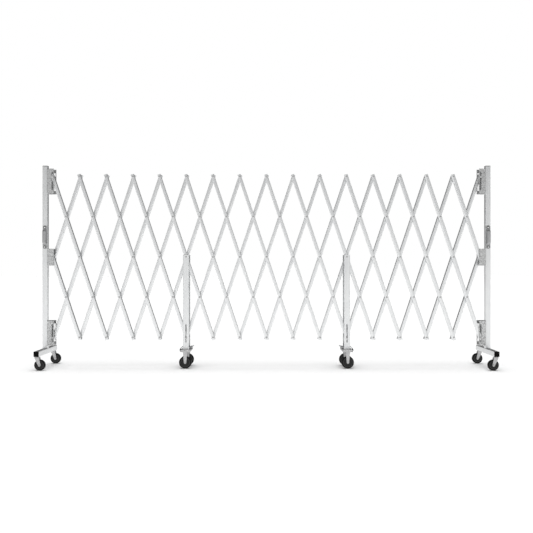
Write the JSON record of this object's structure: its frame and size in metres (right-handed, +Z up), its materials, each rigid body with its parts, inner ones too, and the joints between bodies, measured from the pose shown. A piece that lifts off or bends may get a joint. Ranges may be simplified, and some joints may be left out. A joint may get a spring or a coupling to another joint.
{
  "type": "expanding crowd control barrier",
  "caption": "Mobile crowd barrier: a folding lattice of riveted channels between two handled end posts on swivel casters, with castored mid supports.",
  "frame": {"origin": "middle of the barrier on the floor", "axes": "+X along the barrier, towards the right end post; -Y is the front with the handles; +Z up"},
  "size_m": [3.3942, 0.474, 1.524],
  "materials": {
    "bar_aluminium": "satin",
    "post_aluminium": "satin",
    "galvanised_steel": "satin",
    "zinc_steel": "satin",
    "pedal_steel": "satin",
    "black_plastic": "matte",
    "grey_plastic": "satin",
    "wheel_rubber": "matte"
  },
  "bodies": {
    "left_end": {"left_end_frame": "post_aluminium", "left_brackets": "galvanised_steel", "left_caps": "black_plastic", "left_handle": "grey_plastic"},
    "left_support": {"left_support_uprights": "post_aluminium", "left_support_base": "zinc_steel"},
    "left_brake_pedal": {"left_brake_pedal": "pedal_steel"},
    "left_front_caster_fork": {"left_front_caster_fork": "zinc_steel"},
    "left_front_caster_wheel": {"left_front_caster_wheel": "wheel_rubber"},
    "left_support_front_wheel": {"left_support_front_wheel": "wheel_rubber"},
    "left_rear_caster_fork": {"left_rear_caster_fork": "zinc_steel"},
    "left_rear_caster_wheel": {"left_rear_caster_wheel": "wheel_rubber"},
    "left_support_rear_wheel": {"left_support_rear_wheel": "wheel_rubber"},
    "right_end": {"right_end_frame": "post_aluminium", "right_brackets": "galvanised_steel", "right_caps": "black_plastic", "right_handle": "grey_plastic"},
    "right_support": {"right_support_uprights": "post_aluminium", "right_support_base": "zinc_steel"},
    "right_brake_pedal": {"right_brake_pedal": "pedal_steel"},
    "right_front_caster_fork": {"right_front_caster_fork": "zinc_steel"},
    "right_front_caster_wheel": {"right_front_caster_wheel": "wheel_rubber"},
    "right_support_front_wheel": {"right_support_front_wheel": "wheel_rubber"},
    "right_rear_caster_fork": {"right_rear_caster_fork": "zinc_steel"},
    "right_rear_caster_wheel": {"right_rear_caster_wheel": "wheel_rubber"},
    "right_support_rear_wheel": {"right_support_rear_wheel": "wheel_rubber"},
    "front_bar_01": {"front_bar_01": "bar_aluminium"},
    "rear_bar_01": {"rear_bar_01": "bar_aluminium"},
    "front_bar_02": {"front_bar_02": "bar_aluminium"},
    "rear_bar_02": {"rear_bar_02": "bar_aluminium"},
    "front_bar_03": {"front_bar_03": "bar_aluminium"},
    "rear_bar_03": {"rear_bar_03": "bar_aluminium"},
    "front_bar_04": {"front_bar_04": "bar_aluminium"},
    "rear_bar_04": {"rear_bar_04": "bar_aluminium"},
    "front_bar_05": {"front_bar_05": "bar_aluminium"},
    "rear_bar_05": {"rear_bar_05": "bar_aluminium"},
    "front_bar_06": {"front_bar_06": "bar_aluminium"},
    "rear_bar_06": {"rear_bar_06": "bar_aluminium"},
    "front_bar_07": {"front_bar_07": "bar_aluminium"},
    "rear_bar_07": {"rear_bar_07": "bar_aluminium"},
    "front_bar_08": {"front_bar_08": "bar_aluminium"},
    "rear_bar_08": {"rear_bar_08": "bar_aluminium"},
    "front_bar_09": {"front_bar_09": "bar_aluminium"},
    "rear_bar_09": {"rear_bar_09": "bar_aluminium"},
    "front_bar_10": {"front_bar_10": "bar_aluminium"},
    "rear_bar_10": {"rear_bar_10": "bar_aluminium"},
    "front_bar_11": {"front_bar_11": "bar_aluminium"},
    "rear_bar_11": {"rear_bar_11": "bar_aluminium"},
    "front_bar_12": {"front_bar_12": "bar_aluminium"},
    "rear_bar_12": {"rear_bar_12": "bar_aluminium"},
    "front_bar_13": {"front_bar_13": "bar_aluminium"},
    "rear_bar_13": {"rear_bar_13": "bar_aluminium"},
    "front_bar_14": {"front_bar_14": "bar_aluminium"},
    "rear_bar_14": {"rear_bar_14": "bar_aluminium"},
    "front_bar_15": {"front_bar_15": "bar_aluminium"},
    "rear_bar_15": {"rear_bar_15": "bar_aluminium"},
    "front_bar_16": {"front_bar_16": "bar_aluminium"},
    "rear_bar_16": {"rear_bar_16": "bar_aluminium"},
    "front_bar_17": {"front_bar_17": "bar_aluminium"},
    "rear_bar_17": {"rear_bar_17": "bar_aluminium"}
  },
  "joints": [
    {"name": "lattice_fold", "type": "hinge", "parent": "left_end", "child": "front_bar_01", "pos_m": [-1.61612, 0, 0.83198], "axis": [0, -1, 0], "range_deg": [-13.9, 18.7]},
    {"name": "pivot_rear_bar_01", "type": "hinge", "parent": "left_end", "child": "rear_bar_01", "pos_m": [-1.61612, 0, 0.83198], "axis": [0, 1, 0], "range_deg": [-13.9, 18.7]},
    {"name": "pivot_rear_bar_02", "type": "hinge", "parent": "front_bar_01", "child": "rear_bar_02", "pos_m": [-1.51511, 0, 0.52834], "axis": [0, 1, 0], "range_deg": [-27.8, 37.4]},
    {"name": "pivot_rear_bar_03", "type": "hinge", "parent": "front_bar_01", "child": "rear_bar_03", "pos_m": [-1.41411, 0, 0.2247], "axis": [0, 1, 0], "range_deg": [-27.8, 37.4]},
    {"name": "pivot_front_bar_05", "type": "hinge", "parent": "rear_bar_03", "child": "front_bar_05", "pos_m": [-1.01008, 0, 1.43926], "axis": [0, 1, 0], "range_deg": [-37.4, 27.8]},
    {"name": "pivot_rear_bar_07", "type": "hinge", "parent": "front_bar_05", "child": "rear_bar_07", "pos_m": [-0.60605, 0, 0.2247], "axis": [0, 1, 0], "range_deg": [-27.8, 37.4]},
    {"name": "pivot_front_bar_09", "type": "hinge", "parent": "rear_bar_07", "child": "front_bar_09", "pos_m": [-0.20202, 0, 1.43926], "axis": [0, 1, 0], "range_deg": [-37.4, 27.8]},
    {"name": "pivot_rear_bar_11", "type": "hinge", "parent": "front_bar_09", "child": "rear_bar_11", "pos_m": [0.20202, 0, 0.2247], "axis": [0, 1, 0], "range_deg": [-27.8, 37.4]},
    {"name": "pivot_front_bar_13", "type": "hinge", "parent": "rear_bar_11", "child": "front_bar_13", "pos_m": [0.60605, 0, 1.43926], "axis": [0, 1, 0], "range_deg": [-37.4, 27.8]},
    {"name": "pivot_rear_bar_15", "type": "hinge", "parent": "front_bar_13", "child": "rear_bar_15", "pos_m": [1.01008, 0, 0.2247], "axis": [0, 1, 0], "range_deg": [-27.8, 37.4]},
    {"name": "pivot_front_bar_17", "type": "hinge", "parent": "rear_bar_15", "child": "front_bar_17", "pos_m": [1.41411, 0, 1.43926], "axis": [0, 1, 0], "range_deg": [-37.4, 27.8]},
    {"name": "pivot_front_bar_02", "type": "hinge", "parent": "rear_bar_03", "child": "front_bar_02", "pos_m": [-1.3131, 0, 0.52834], "axis": [0, 1, 0], "range_deg": [-37.4, 27.8]},
    {"name": "pivot_front_bar_03", "type": "hinge", "parent": "rear_bar_03", "child": "front_bar_03", "pos_m": [-1.21209, 0, 0.83198], "axis": [0, 1, 0], "range_deg": [-37.4, 27.8]},
    {"name": "pivot_front_bar_04", "type": "hinge", "parent": "rear_bar_03", "child": "front_bar_04", "pos_m": [-1.11109, 0, 1.13562], "axis": [0, 1, 0], "range_deg": [-37.4, 27.8]},
    {"name": "pivot_rear_bar_04", "type": "hinge", "parent": "front_bar_05", "child": "rear_bar_04", "pos_m": [-0.90907, 0, 1.13562], "axis": [0, 1, 0], "range_deg": [-27.8, 37.4]},
    {"name": "pivot_rear_bar_05", "type": "hinge", "parent": "front_bar_05", "child": "rear_bar_05", "pos_m": [-0.80806, 0, 0.83198], "axis": [0, 1, 0], "range_deg": [-27.8, 37.4]},
    {"name": "pivot_rear_bar_06", "type": "hinge", "parent": "front_bar_05", "child": "rear_bar_06", "pos_m": [-0.70705, 0, 0.52834], "axis": [0, 1, 0], "range_deg": [-27.8, 37.4]},
    {"name": "pivot_front_bar_06", "type": "hinge", "parent": "rear_bar_07", "child": "front_bar_06", "pos_m": [-0.50504, 0, 0.52834], "axis": [0, 1, 0], "range_deg": [-37.4, 27.8]},
    {"name": "pivot_front_bar_07", "type": "hinge", "parent": "rear_bar_07", "child": "front_bar_07", "pos_m": [-0.40403, 0, 0.83198], "axis": [0, 1, 0], "range_deg": [-37.4, 27.8]},
    {"name": "pivot_front_bar_08", "type": "hinge", "parent": "rear_bar_07", "child": "front_bar_08", "pos_m": [-0.30302, 0, 1.13562], "axis": [0, 1, 0], "range_deg": [-37.4, 27.8]},
    {"name": "pivot_rear_bar_08", "type": "hinge", "parent": "front_bar_09", "child": "rear_bar_08", "pos_m": [-0.10101, 0, 1.13562], "axis": [0, 1, 0], "range_deg": [-27.8, 37.4]},
    {"name": "pivot_rear_bar_09", "type": "hinge", "parent": "front_bar_09", "child": "rear_bar_09", "pos_m": [0, 0, 0.83198], "axis": [0, 1, 0], "range_deg": [-27.8, 37.4]},
    {"name": "pivot_rear_bar_10", "type": "hinge", "parent": "front_bar_09", "child": "rear_bar_10", "pos_m": [0.10101, 0, 0.52834], "axis": [0, 1, 0], "range_deg": [-27.8, 37.4]},
    {"name": "pivot_front_bar_10", "type": "hinge", "parent": "rear_bar_11", "child": "front_bar_10", "pos_m": [0.30302, 0, 0.52834], "axis": [0, 1, 0], "range_deg": [-37.4, 27.8]},
    {"name": "pivot_front_bar_11", "type": "hinge", "parent": "rear_bar_11", "child": "front_bar_11", "pos_m": [0.40403, 0, 0.83198], "axis": [0, 1, 0], "range_deg": [-37.4, 27.8]},
    {"name": "pivot_front_bar_12", "type": "hinge", "parent": "rear_bar_11", "child": "front_bar_12", "pos_m": [0.50504, 0, 1.13562], "axis": [0, 1, 0], "range_deg": [-37.4, 27.8]},
    {"name": "pivot_rear_bar_12", "type": "hinge", "parent": "front_bar_13", "child": "rear_bar_12", "pos_m": [0.70705, 0, 1.13562], "axis": [0, 1, 0], "range_deg": [-27.8, 37.4]},
    {"name": "pivot_rear_bar_13", "type": "hinge", "parent": "front_bar_13", "child": "rear_bar_13", "pos_m": [0.80806, 0, 0.83198], "axis": [0, 1, 0], "range_deg": [-27.8, 37.4]},
    {"name": "pivot_rear_bar_14", "type": "hinge", "parent": "front_bar_13", "child": "rear_bar_14", "pos_m": [0.90907, 0, 0.52834], "axis": [0, 1, 0], "range_deg": [-27.8, 37.4]},
    {"name": "pivot_front_bar_14", "type": "hinge", "parent": "rear_bar_15", "child": "front_bar_14", "pos_m": [1.11109, 0, 0.52834], "axis": [0, 1, 0], "range_deg": [-37.4, 27.8]},
    {"name": "pivot_front_bar_15", "type": "hinge", "parent": "rear_bar_15", "child": "front_bar_15", "pos_m": [1.21209, 0, 0.83198], "axis": [0, 1, 0], "range_deg": [-37.4, 27.8]},
    {"name": "pivot_front_bar_16", "type": "hinge", "parent": "rear_bar_15", "child": "front_bar_16", "pos_m": [1.3131, 0, 1.13562], "axis": [0, 1, 0], "range_deg": [-37.4, 27.8]},
    {"name": "pivot_rear_bar_16", "type": "hinge", "parent": "front_bar_17", "child": "rear_bar_16", "pos_m": [1.51511, 0, 1.13562], "axis": [0, 1, 0], "range_deg": [-27.8, 37.4]},
    {"name": "pivot_rear_bar_17", "type": "hinge", "parent": "front_bar_17", "child": "rear_bar_17", "pos_m": [1.61612, 0, 0.83198], "axis": [0, 1, 0], "range_deg": [-27.8, 37.4]},
    {"name": "pivot_right_end", "type": "hinge", "parent": "front_bar_17", "child": "right_end", "pos_m": [1.61612, 0, 0.83198], "axis": [0, 1, 0], "range_deg": [-13.9, 18.7]},
    {"name": "pivot_left_support", "type": "hinge", "parent": "front_bar_06", "child": "left_support", "pos_m": [-0.60605, 0, 0.83198], "axis": [0, 1, 0], "range_deg": [-13.9, 18.7]},
    {"name": "pivot_right_support", "type": "hinge", "parent": "front_bar_12", "child": "right_support", "pos_m": [0.60605, 0, 0.83198], "axis": [0, 1, 0], "range_deg": [-13.9, 18.7]},
    {"name": "left_front_swivel", "type": "hinge", "parent": "left_end", "child": "left_front_caster_fork", "pos_m": [-1.67612, -0.205, 0.1], "axis": [0, 0, 1], "continuous": true},
    {"name": "left_front_wheel_turn", "type": "hinge", "parent": "left_front_caster_fork", "child": "left_front_caster_wheel", "pos_m": [-1.65712, -0.205, 0.04], "axis": [0, 1, 0], "continuous": true},
    {"name": "left_rear_swivel", "type": "hinge", "parent": "left_end", "child": "left_rear_caster_fork", "pos_m": [-1.67612, 0.205, 0.1], "axis": [0, 0, 1], "continuous": true},
    {"name": "left_rear_wheel_turn", "type": "hinge", "parent": "left_rear_caster_fork", "child": "left_rear_caster_wheel", "pos_m": [-1.65712, 0.205, 0.04], "axis": [0, 1, 0], "continuous": true},
    {"name": "left_support_front_wheel_turn", "type": "hinge", "parent": "left_support", "child": "left_support_front_wheel", "pos_m": [-0.60605, -0.095, 0.046], "axis": [0, 1, 0], "continuous": true},
    {"name": "left_support_rear_wheel_turn", "type": "hinge", "parent": "left_support", "child": "left_support_rear_wheel", "pos_m": [-0.60605, 0.095, 0.046], "axis": [0, 1, 0], "continuous": true},
    {"name": "left_brake_rock", "type": "hinge", "parent": "left_support", "child": "left_brake_pedal", "pos_m": [-0.60605, 0, 0.145], "axis": [0, 1, 0], "range_deg": [0, 10]},
    {"name": "right_front_swivel", "type": "hinge", "parent": "right_end", "child": "right_front_caster_fork", "pos_m": [1.67612, -0.205, 0.1], "axis": [0, 0, 1], "continuous": true},
    {"name": "right_front_wheel_turn", "type": "hinge", "parent": "right_front_caster_fork", "child": "right_front_caster_wheel", "pos_m": [1.65712, -0.205, 0.04], "axis": [0, 1, 0], "continuous": true},
    {"name": "right_rear_swivel", "type": "hinge", "parent": "right_end", "child": "right_rear_caster_fork", "pos_m": [1.67612, 0.205, 0.1], "axis": [0, 0, 1], "continuous": true},
    {"name": "right_rear_wheel_turn", "type": "hinge", "parent": "right_rear_caster_fork", "child": "right_rear_caster_wheel", "pos_m": [1.65712, 0.205, 0.04], "axis": [0, 1, 0], "continuous": true},
    {"name": "right_support_front_wheel_turn", "type": "hinge", "parent": "right_support", "child": "right_support_front_wheel", "pos_m": [0.60605, -0.095, 0.046], "axis": [0, 1, 0], "continuous": true},
    {"name": "right_support_rear_wheel_turn", "type": "hinge", "parent": "right_support", "child": "right_support_rear_wheel", "pos_m": [0.60605, 0.095, 0.046], "axis": [0, 1, 0], "continuous": true},
    {"name": "right_brake_rock", "type": "hinge", "parent": "right_support", "child": "right_brake_pedal", "pos_m": [0.60605, 0, 0.145], "axis": [0, -1, 0], "range_deg": [0, 10]}
  ],
  "couplings": [
    {"joint": "pivot_rear_bar_01", "follows": "lattice_fold", "ratio": 1},
    {"joint": "pivot_rear_bar_02", "follows": "lattice_fold", "ratio": 2},
    {"joint": "pivot_rear_bar_03", "follows": "lattice_fold", "ratio": 2},
    {"joint": "pivot_front_bar_05", "follows": "lattice_fold", "ratio": -2},
    {"joint": "pivot_rear_bar_07", "follows": "lattice_fold", "ratio": 2},
    {"joint": "pivot_front_bar_09", "follows": "lattice_fold", "ratio": -2},
    {"joint": "pivot_rear_bar_11", "follows": "lattice_fold", "ratio": 2},
    {"joint": "pivot_front_bar_13", "follows": "lattice_fold", "ratio": -2},
    {"joint": "pivot_rear_bar_15", "follows": "lattice_fold", "ratio": 2},
    {"joint": "pivot_front_bar_17", "follows": "lattice_fold", "ratio": -2},
    {"joint": "pivot_front_bar_02", "follows": "lattice_fold", "ratio": -2},
    {"joint": "pivot_front_bar_03", "follows": "lattice_fold", "ratio": -2},
    {"joint": "pivot_front_bar_04", "follows": "lattice_fold", "ratio": -2},
    {"joint": "pivot_rear_bar_04", "follows": "lattice_fold", "ratio": 2},
    {"joint": "pivot_rear_bar_05", "follows": "lattice_fold", "ratio": 2},
    {"joint": "pivot_rear_bar_06", "follows": "lattice_fold", "ratio": 2},
    {"joint": "pivot_front_bar_06", "follows": "lattice_fold", "ratio": -2},
    {"joint": "pivot_front_bar_07", "follows": "lattice_fold", "ratio": -2},
    {"joint": "pivot_front_bar_08", "follows": "lattice_fold", "ratio": -2},
    {"joint": "pivot_rear_bar_08", "follows": "lattice_fold", "ratio": 2},
    {"joint": "pivot_rear_bar_09", "follows": "lattice_fold", "ratio": 2},
    {"joint": "pivot_rear_bar_10", "follows": "lattice_fold", "ratio": 2},
    {"joint": "pivot_front_bar_10", "follows": "lattice_fold", "ratio": -2},
    {"joint": "pivot_front_bar_11", "follows": "lattice_fold", "ratio": -2},
    {"joint": "pivot_front_bar_12", "follows": "lattice_fold", "ratio": -2},
    {"joint": "pivot_rear_bar_12", "follows": "lattice_fold", "ratio": 2},
    {"joint": "pivot_rear_bar_13", "follows": "lattice_fold", "ratio": 2},
    {"joint": "pivot_rear_bar_14", "follows": "lattice_fold", "ratio": 2},
    {"joint": "pivot_front_bar_14", "follows": "lattice_fold", "ratio": -2},
    {"joint": "pivot_front_bar_15", "follows": "lattice_fold", "ratio": -2},
    {"joint": "pivot_front_bar_16", "follows": "lattice_fold", "ratio": -2},
    {"joint": "pivot_rear_bar_16", "follows": "lattice_fold", "ratio": 2},
    {"joint": "pivot_rear_bar_17", "follows": "lattice_fold", "ratio": 2},
    {"joint": "pivot_right_end", "follows": "lattice_fold", "ratio": 1},
    {"joint": "pivot_left_support", "follows": "lattice_fold", "ratio": 1},
    {"joint": "pivot_right_support", "follows": "lattice_fold", "ratio": 1}
  ]
}
